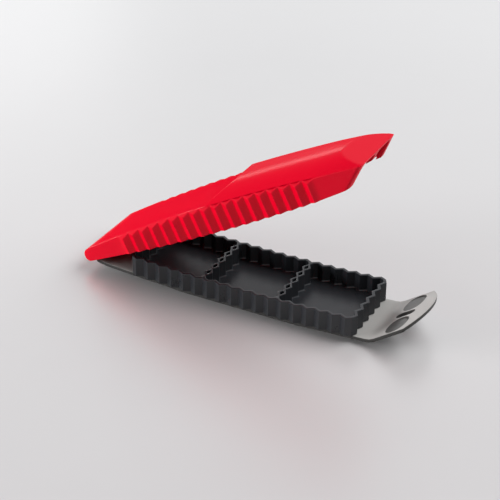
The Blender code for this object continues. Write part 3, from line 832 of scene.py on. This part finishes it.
def lidRing(share, inset, inner=False):
    # one level of the lid's wall, from the nose round to the sloping end and back
    ceiling = lid["wall"] if inner else 0.0
    thick = lid["endWall"] if inner else 0.0
    pull = lid["wall"] if inner else 0.0
    fromTop = (1 - share) * (lid["height"] - ceiling)
    nose = lid["left"] + pull + inset
    tall = lidTop(lid["left"] + 3) - lidUnder(lid["left"] + 3) - ceiling
    for far, radius in (((1 - share) * tall, lid["nose"] - pull), (share * tall, lid["nose"])):
        if far < radius:
            nose += radius - math.sqrt(radius * radius - (radius - far) ** 2)
    lean = lid["draft"] * share
    smooth = lid["halfWidth"] - pull - inset - lean
    level = cellHalf + cutters["outset"] + lid["clearance"] + lid["wall"] - pull - inset - lean
    taper = (lid["halfWidth"] - lid["endHalfWidth"]) / (rimX - rowHalf)
    reach = endReach(share, thick, ceiling) - inset
    corner = lid["noseCorner"]
    # x, half width, place along the teeth, 1 where there are teeth
    side = []
    for degrees in (6, 26, 48, 70, 90):
        angle = math.radians(degrees)
        x = nose + corner - corner * math.cos(angle)
        side.append((x, smooth - corner + corner * math.sin(angle), 0.0, 0))
    for x in np.linspace(nose + corner, -rowHalf, 7)[1:]:
        side.append((float(x), smooth, 0.0, 0))
    pitch = teeth["pitch"]
    crest = rowHalf - pitch / 2
    tail = [pitch * s for s in toothShares[1:4]] + list(lid["flats"])
    along = [-crest - v for v in reversed(tail)]
    along += [-crest + pitch * (i + s) for i in range(round(2 * crest / pitch)) for s in toothShares]
    along += [crest] + [crest + v for v in tail]
    side += [(v, level, v, 1) for v in along]
    turn = lid["endCorner"] - pull
    for x in np.linspace(rowHalf, reach - turn, 7):
        side.append((float(x), smooth - taper * (float(x) - rowHalf), 0.0, 0))
    endHalf = smooth - taper * (reach - turn - rowHalf)
    for degrees in (16, 32, 48, 64, 80):
        angle = math.radians(degrees)
        side.append((reach - turn + turn * math.sin(angle), endHalf - turn + turn * math.cos(angle), 0.0, 0))
    samples = []

    def add(x, y, upTo, run=0.0, toothed=0):
        z = lidHeight(x, upTo, ceiling)
        if toothed and not inner:
            z -= shoulderDrop(abs(y) + toothHeight(run)) * max(0.0, 1 - fromTop / lid["shoulderReach"])
        samples.append((x, y, z, run, (0, toothed)))

    for x, y, run, toothed in side:
        add(x, -y, share, run, -toothed)
    for y in endWidths():
        part = notchShare(y)
        own = part + share * (1 - part)
        spot = endReach(own, thick, ceiling) - inset * 0.3
        width = math.copysign(endHalf - turn, y) if abs(y) > lid["notchOuter"] + 0.1 else y
        add(spot, width, own)
    for x, y, run, toothed in reversed(side):
        add(x, y, share, run, toothed)
    noseHalf = smooth - corner
    for y in np.linspace(noseHalf, -noseHalf, 12)[1:-1]:
        add(nose, float(y), share)
    return samples


def buildLid():
    draft = Draft()
    edge = lid["edge"]
    height = lid["height"]
    upright = (0.018, 0.05, 0.1, 0.17, 0.26, 0.38, 0.52, 0.65, 0.76, 0.84, 0.9, 1 - 1.2 / height)
    levels = [(0.0, 0.3)] + [(v, 0.0) for v in upright]
    for degrees in (0, 22.5, 45, 67.5, 90):
        turn = math.radians(degrees)
        levels.append((1 - edge * (1 - math.sin(turn)) / height, edge * (1 - math.cos(turn))))
    rings = [draft.ring(lidRing(level, inset)) for level, inset in levels]
    draft.stack(rings)
    for i in range(len(draft.points)):
        draft.shade[i] = 1.0

    def topFace(x, y):
        return lidTop(x) - (shoulderDrop(y) if abs(x) < rowHalf else 0.0)

    draft.cap([rings[-1]], topFace, 4.0)
    levels = [(0.0, -0.3)] + [(v, 0.0) for v in (0.018, 0.06, 0.14, 0.26, 0.45, 0.65, 0.8, 0.9)]
    inner = [draft.ring(lidRing(level, inset, True)) for level, inset in levels + [(0.97, 0.12), (1.0, 0.5)]]
    draft.bridge(rings[0], inner[0])
    draft.stack(inner)
    draft.cap([inner[-1]], lambda x, y: lidTop(x) - lid["wall"], 5.0)
    # ears for the pin, each under a web
    near = lid["earInner"]
    far = near + lid["earLength"]
    blind = far - lid["earCover"]
    bore = lid["boreRadius"]
    outer = lid["earRadius"]
    half = lid["earWeb"] / 2
    for side in (-1, 1):
        profile = [
            (bore, side * blind), (bore, side * (near + 0.25)), (bore + 0.25, side * near),
            (outer - 0.25, side * near), (outer, side * (near + 0.25)),
            (outer, side * (far - 0.4)), (outer - 0.12, side * (far - 0.12)), (outer - 0.4, side * far),
        ]
        draft.tube(profile, (rest["hingeX"], 0.0, rest["hingeZ"]), 40)
        low, high = sorted((side * (near + 0.05), side * (far - 0.05)))
        draft.brick(
            (rest["hingeX"] - half, low, rest["hingeZ"] + bore + 0.35),
            (rest["hingeX"] + half, high, lidTop(rest["hingeX"]) - lid["wall"] * 0.6), 0.5,
        )
    piece = drafted("flutedLid", draft, redPlastic, toothed=True)
    openLid(piece)
    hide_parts("lid_shell")
    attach(piece, "lid")


buildLid()
print("lid ready")


# The raised grip: an arch with a slanting cut at each end

grip = {
    "rise": 30.0, "crown": 0.00034, "ledge": 1.4, "cutDegrees": 20.0, "endDegrees": 25.4, "topStart": 13.6,
    "firstRise": 0.75, "fullness": 3.0, "seat": 0.02, "lip": 0.08, "edge": 0.45, "sideEdge": 0.03,
    "corner": 3.0, "cornerShare": 0.9, "soft": 0.25, "endGap": 0.05, "across": 64, "along": 190,
}


def gripHalf(x):
    taper = (lid["halfWidth"] - lid["endHalfWidth"]) / (rimX - rowHalf)
    past = min(grip["corner"], max(0.0, x - (rimX - grip["endGap"] - grip["corner"])))
    turned = grip["corner"] - math.sqrt(grip["corner"] ** 2 - past * past)
    return lid["halfWidth"] - grip["ledge"] - taper * max(0.0, x - rowHalf) - turned * grip["cornerShare"]


def gripCrown(x):
    return grip["rise"] - grip["crown"] * x * x


def softMin(a, b, soft):
    return 0.5 * (a + b - math.hypot(a - b, soft))


def gripRight(x):
    return lidTop(rimX) + math.tan(math.radians(grip["endDegrees"])) * (rimX - x)


def gripSurface(x, share):
    slope = math.tan(math.radians(grip["cutDegrees"]))
    base = lidTop(x) + grip["lip"]
    arch = base + (gripCrown(x) - base) * (1 - abs(share) ** grip["fullness"])
    left = gripCrown(grip["topStart"]) - slope * (grip["topStart"] - x)
    return softMin(softMin(arch, left, grip["soft"]), gripRight(x), grip["soft"])


def onCut(x, share):
    # the right cut is polished, the arch has a softer sheen
    return gripSurface(x, share) > gripRight(x) - grip["soft"]


def buildGrip():
    draft = Draft()
    start = solve(lambda x: gripSurface(x, 0.0) - lidTop(x) - grip["firstRise"], -60.0, grip["topStart"])
    end = rimX - grip["endGap"]
    count = grip["along"]
    xs = [start + (end - start) * i / count for i in range(count + 1)]
    nearStart = [start + v for v in (0.15, 0.4)]
    nearEnd = [end - v for v in (0.35, 0.2, 0.08, 0.02)]
    xs = xs[:1] + nearStart + xs[1:-1] + nearEnd + xs[-1:]
    across = grip["across"]
    shares = [-1 + 2 * i / across for i in range(across + 1)]
    shares = shares[:1] + [-0.995, -0.985] + shares[1:-1] + [0.985, 0.995] + shares[-1:]
    table = []
    for x in xs:
        half = gripHalf(x)
        row = []
        for share in shares:
            z = gripSurface(x, share)
            fromSide = (1 - abs(share)) * half
            fromEnd = min(x - start, end - x)
            for fromEdge, radius in ((fromSide, grip["sideEdge"]), (fromEnd, grip["edge"])):
                if fromEdge < radius:
                    z -= radius - math.sqrt(radius * radius - (radius - fromEdge) ** 2)
            row.append(draft.point(x, share * half, max(z, lidTop(x) + grip["seat"] + 0.02)))
            draft.shade[row[-1]] = 1.0 if onCut(x, share) else 0.0
        table.append(row)
    for i in range(len(xs) - 1):
        for j in range(len(shares) - 1):
            draft.faces.append((table[i][j], table[i + 1][j], table[i + 1][j + 1], table[i][j + 1]))
    ring = table[0] + [row[-1] for row in table[1:-1]] + table[-1][::-1] + [row[0] for row in table[-2:0:-1]]
    foot = []
    for index in ring:
        x, y, _ = draft.points[index]
        foot.append(draft.point(x, y, lidTop(x) + grip["seat"]))
    draft.bridge(ring, foot)
    # the flat underside, one strip from row to row
    wide = len(table[0])
    rows = len(table)
    turnBack = wide + rows - 2
    right = [foot[wide - 1]] + foot[wide:turnBack]
    left = [foot[0]] + list(reversed(foot[turnBack + wide:]))
    for i in range(1, rows - 2):
        draft.faces.append((left[i], right[i], right[i + 1], left[i + 1]))
    draft.faces.append((*foot[:wide], right[1], left[1]))
    draft.faces.append((*foot[turnBack:turnBack + wide], left[-1], right[-1]))
    piece = drafted("grip", draft, gripPlastic)
    openLid(piece)
    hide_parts("grip_shell")
    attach(piece, "lid")


buildGrip()
print("grip ready")


# The press plate inside the lid, open over each cell

press = {
    "end": 70.0, "endCorner": 2.0, "rimGap": 0.5, "seatGap": 0.3, "window": 18.0, "corner": 6.0,
    "edge": 0.6, "screwY": 4.0,
}


def pressUnder(x):
    return cutters["base"] + cutters["height"] + press["rimGap"] + rocker(x)


def pressTop(x):
    return lidTop(x) - lid["wall"] - press["seatGap"]


def roundedBox(centre, halfX, halfY, corner, steps=7, parts=8):
    signs = ((1, 1), (-1, 1), (-1, -1), (1, -1))

    def spot(i, degrees):
        angle = math.radians(degrees)
        x = centre + signs[i % 4][0] * (halfX - corner) + corner * math.cos(angle)
        return x, signs[i % 4][1] * (halfY - corner) + corner * math.sin(angle)

    points = []
    for i in range(4):
        points += [spot(i, 90 * i + 90 * k / (steps - 1)) for k in range(steps)]
        x, y = points[-1]
        nextX, nextY = spot(i + 1, 90 * i + 90)
        points += [(x + (nextX - x) * k / parts, y + (nextY - y) * k / parts) for k in range(1, parts)]
    return points


def buildPress():
    draft = Draft()
    halfY = cellHalf + cutters["outset"] + lid["clearance"] - teeth["depth"] / 2 - press["seatGap"]
    edge = press["edge"]
    window = press["window"]

    def wall(outline):
        # from the rounded lower edge up to the upper one
        rings = []
        for grow, up in ((edge, 0.0), (edge * midTurn, edge * midTurn), (0.0, edge), (0.0, edge + 0.6)):
            rings.append(draft.ring([(x, y, pressUnder(x) + up) for x, y in outline(grow)]))
        for grow, down in ((0.0, 0.5), (0.1, 0.1), (0.4, 0.0)):
            rings.append(draft.ring([(x, y, pressTop(x) - down) for x, y in outline(grow)]))
        draft.stack(rings)
        return rings

    def outerBox(grow):
        return roundedBox(0.0, press["end"] - grow, halfY - grow, press["endCorner"] - min(grow, edge), 5, 26)

    walls = [wall(outerBox)]
    for centre in cellCentres:
        walls.append(wall(lambda g, c=centre: roundedBox(c, window + g, window + g, press["corner"] + g)))
    under = [rings[0] for rings in walls]
    for x in wallCentres:
        under += [draft.well(x, y, pressUnder(x), 0.25) for y in (-press["screwY"], press["screwY"])]
    draft.cap(under, lambda x, y: pressUnder(x), 4.0)
    draft.cap([rings[-1] for rings in walls], lambda x, y: pressTop(x), 5.0)
    piece = drafted("pressPlate", draft, redPlastic)
    openLid(piece)
    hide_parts("press_frame")
    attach(piece, "lid")


buildPress()
print("press plate ready")


# Countersunk screws, one tree for both groups

screw = {
    "Head Radius": 2.1, "Head Height": 1.1, "Shank Radius": 1.0, "Length": 6.4,
    "Recess Length": 2.6, "Recess Width": 0.55, "Recess Depth": 0.8, "Rim Height": 0.2,
}
screwUse = {"inset": 0.5, "trayLength": 6.3, "lidLength": 5.3, "sharpDegrees": 30.0}


def screwTree(material):
    sizes = {label: value * mm for label, value in screw.items()}
    net, given = startTree("crossHeadScrews", "Points", sizes)
    points, head, headHeight, shank, length, recess, width, depth, rim = given

    def moved(geometry, x=0.0, y=0.0, z=0.0):
        offset = net.node("ShaderNodeCombineXYZ", None, {"X": x, "Y": y, "Z": z})
        return net.node("GeometryNodeTransform", None, {"Geometry": geometry, "Translation": offset})

    def cone(lower, upper, height):
        sizes = {"Vertices": 32, "Radius Top": upper, "Radius Bottom": lower, "Depth": height}
        return net.node("GeometryNodeMeshCone", None, sizes)

    def joined(operation, first, others):
        made = net.node("GeometryNodeMeshBoolean", {"operation": operation}, first)
        for part in others:
            net.feed(part, made.socket.node, 1)
        return made

    disc = cone(head * 0.94, head, rim)
    taper = moved(cone(head, shank, headHeight - rim), z=rim)
    reach = length - headHeight
    rod = net.node("GeometryNodeMeshCylinder", None, {"Vertices": 24, "Radius": shank, "Depth": reach})
    rod = moved(rod, z=headHeight + reach * 0.5)
    body = joined("UNION", None, (disc, taper, rod))
    bars = []
    for first, second in ((recess, width), (width, recess)):
        size = net.node("ShaderNodeCombineXYZ", None, {"X": first, "Y": second, "Z": depth * 2})
        bars.append(net.node("GeometryNodeMeshCube", None, {"Size": size}))
    cross = joined("DIFFERENCE", {0: body}, bars)
    placed = net.node("GeometryNodeInstanceOnPoints", None, {"Points": points, "Instance": cross})
    return endTree(net, placed, material)


def buildScrews(name, places, length, body, nodes):
    piece = meshPiece(name, places, [])
    applyTree(piece, screws, {"Length": length * mm})
    closeUp(piece, screwUse["sharpDegrees"])
    if body == "lid":
        openLid(piece)
    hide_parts(*nodes)
    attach(piece, body)


screws = screwTree(plainSteel)
corners = ("front_left", "rear_left", "front_right", "rear_right")
inset = screwUse["inset"]
trayPlaces = [(x, y, inset) for x in wallCentres for y in (-tray["screwY"], tray["screwY"])]
buildScrews("trayScrews", trayPlaces, screwUse["trayLength"], "tray", ["tray_screw_" + c for c in corners])
lidPlaces = [(x, y, pressUnder(x) + inset) for x in wallCentres for y in (-press["screwY"], press["screwY"])]
buildScrews("lidScrews", lidPlaces, screwUse["lidLength"], "lid", ["lid_screw_" + c for c in corners])

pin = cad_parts["hinge_pin"]
pin.data.materials.clear()
pin.data.materials.append(plainSteel)
print("screws and pin ready")


# Table, light and camera

studio = {
    "table": (0.5, 0.485, 0.49), "tableFar": (0.62, 0.62, 0.625), "tableIor": 3.0, "tableRoughness": 0.37,
    "tableHalf": 6000.0, "tableZ": -0.2, "paleRight": -0.6, "paleBack": 1.3, "paleFrom": 0.35,
    "backdrop": (0.82, 0.82, 0.83), "fadeStart": 0.34, "fadeLength": 0.4,
    "sky": (0.95, 0.95, 0.97), "ambient": 0.05, "skySeen": 0.95, "skyMirrored": 0.9,
}
lamps = {
    "key": {"place": (1.3, 1.0, 1.75), "aim": (0.0, 0.0, 0.03), "size": (2.3, 2.3), "power": 95.0},
    "front": {"place": (-1.12, -0.76, 0.26), "aim": (0.0, 0.0, 0.05), "size": (0.8, 0.35), "power": 23.0},
    "rim": {"place": (-1.7, 1.75, 0.32), "aim": (0.03, 0.0, 0.07), "size": (0.8, 0.3), "power": 5.5},
}
mirroredLamps = ("rim",)  # the table would show the others as white patches
camera = {"lens": 110.47, "place": (0.35433, -0.68370, 0.47835), "degrees": (59.6805, -0.3288, 27.9246)}


def buildTable():
    half = studio["tableHalf"]
    outline = [(x * half, y * half, studio["tableZ"]) for x, y in ((-1, -1), (1, -1), (1, 1), (-1, 1))]
    table = meshPiece("table", outline, [(0, 1, 2, 3)])
    material, net, shader, place = finishBase("paleTable", studio["table"], studio["tableRoughness"])
    shader.inputs["IOR"].default_value = studio["tableIor"]
    # painted light: the table is a little paler towards the back and the left, standing in for the fall of
    # the light
    x = net.node("ShaderNodeSeparateXYZ", None, {0: place})
    away = x.output("Y") * studio["paleBack"] + x * studio["paleRight"] + studio["paleFrom"]
    speckle = noise(net, place, 30.0, 4.0, 0.5)
    amount = away + (speckle - 0.5) * 0.1
    colour = mixColour(net, amount, (*studio["table"], 1.0), (*studio["tableFar"], 1.0))
    net.feed(colour, shader, "Base Color")
    # far from the part the table turns into a plain pale backdrop
    distance = net.node("ShaderNodeVectorMath", {"operation": "LENGTH"}, {0: place}, output=1)
    fade = net.maths("MULTIPLY", distance - studio["fadeStart"], 1 / studio["fadeLength"], use_clamp=True)
    rays = net.node("ShaderNodeLightPath")
    seen = net.maths("MAXIMUM", rays.output("Is Camera Ray"), rays.output("Is Glossy Ray"))
    pale = net.node("ShaderNodeEmission", None, {"Color": (*studio["backdrop"], 1.0)})
    near = Term(net, shader.outputs[0])
    surface = net.node("ShaderNodeMixShader", None, {0: fade * seen, 1: near, 2: pale})
    net.feed(surface, net.tree.nodes["Material Output"], 0)
    table.data.materials.append(material)


def softLamp(name, place, aim, size, power):
    data = bpy.data.lights.new(name, "AREA")
    data.shape = "RECTANGLE"
    data.size, data.size_y = size
    data.energy = power
    lamp = linked(name, data)
    lamp.visible_camera = False
    lamp.visible_glossy = name in mirroredLamps
    lamp.location = place
    lamp.rotation_euler = (Vector(aim) - Vector(place)).to_track_quat("-Z", "Y").to_euler()


def buildWorld():
    world = bpy.data.worlds.new("studio")
    bpy.context.scene.world = world
    world.use_nodes = True
    net = Net(world.node_tree)
    net.tree.nodes.clear()
    rays = net.node("ShaderNodeLightPath")
    seen = net.maths("MAXIMUM", rays.output("Is Camera Ray"), rays.output("Is Transmission Ray"))
    seen = net.maths("MAXIMUM", seen, rays.output("Is Glossy Ray") * studio["skyMirrored"])
    colour = (*studio["sky"], 1.0)
    plain = net.node("ShaderNodeBackground", None, {"Color": colour, "Strength": studio["ambient"]})
    shown = net.node("ShaderNodeBackground", None, {"Color": colour, "Strength": studio["skySeen"]})
    mixed = net.node("ShaderNodeMixShader", None, {0: seen, 1: plain, 2: shown})
    net.feed(mixed, net.tree.nodes.new("ShaderNodeOutputWorld"), 0)


def buildCamera():
    data = bpy.data.cameras.new("camera")
    data.lens = camera["lens"]
    data.sensor_width = 36.0
    data.clip_start = 0.01
    made = linked("camera", data)
    made.location = camera["place"]
    made.rotation_euler = [math.radians(a) for a in camera["degrees"]]
    bpy.context.scene.camera = made


buildTable()
buildWorld()
for name, lamp in lamps.items():
    softLamp(name, **lamp)
buildCamera()
print("table, lamps and camera ready")
bpy.context.scene.view_settings.view_transform = "Standard"
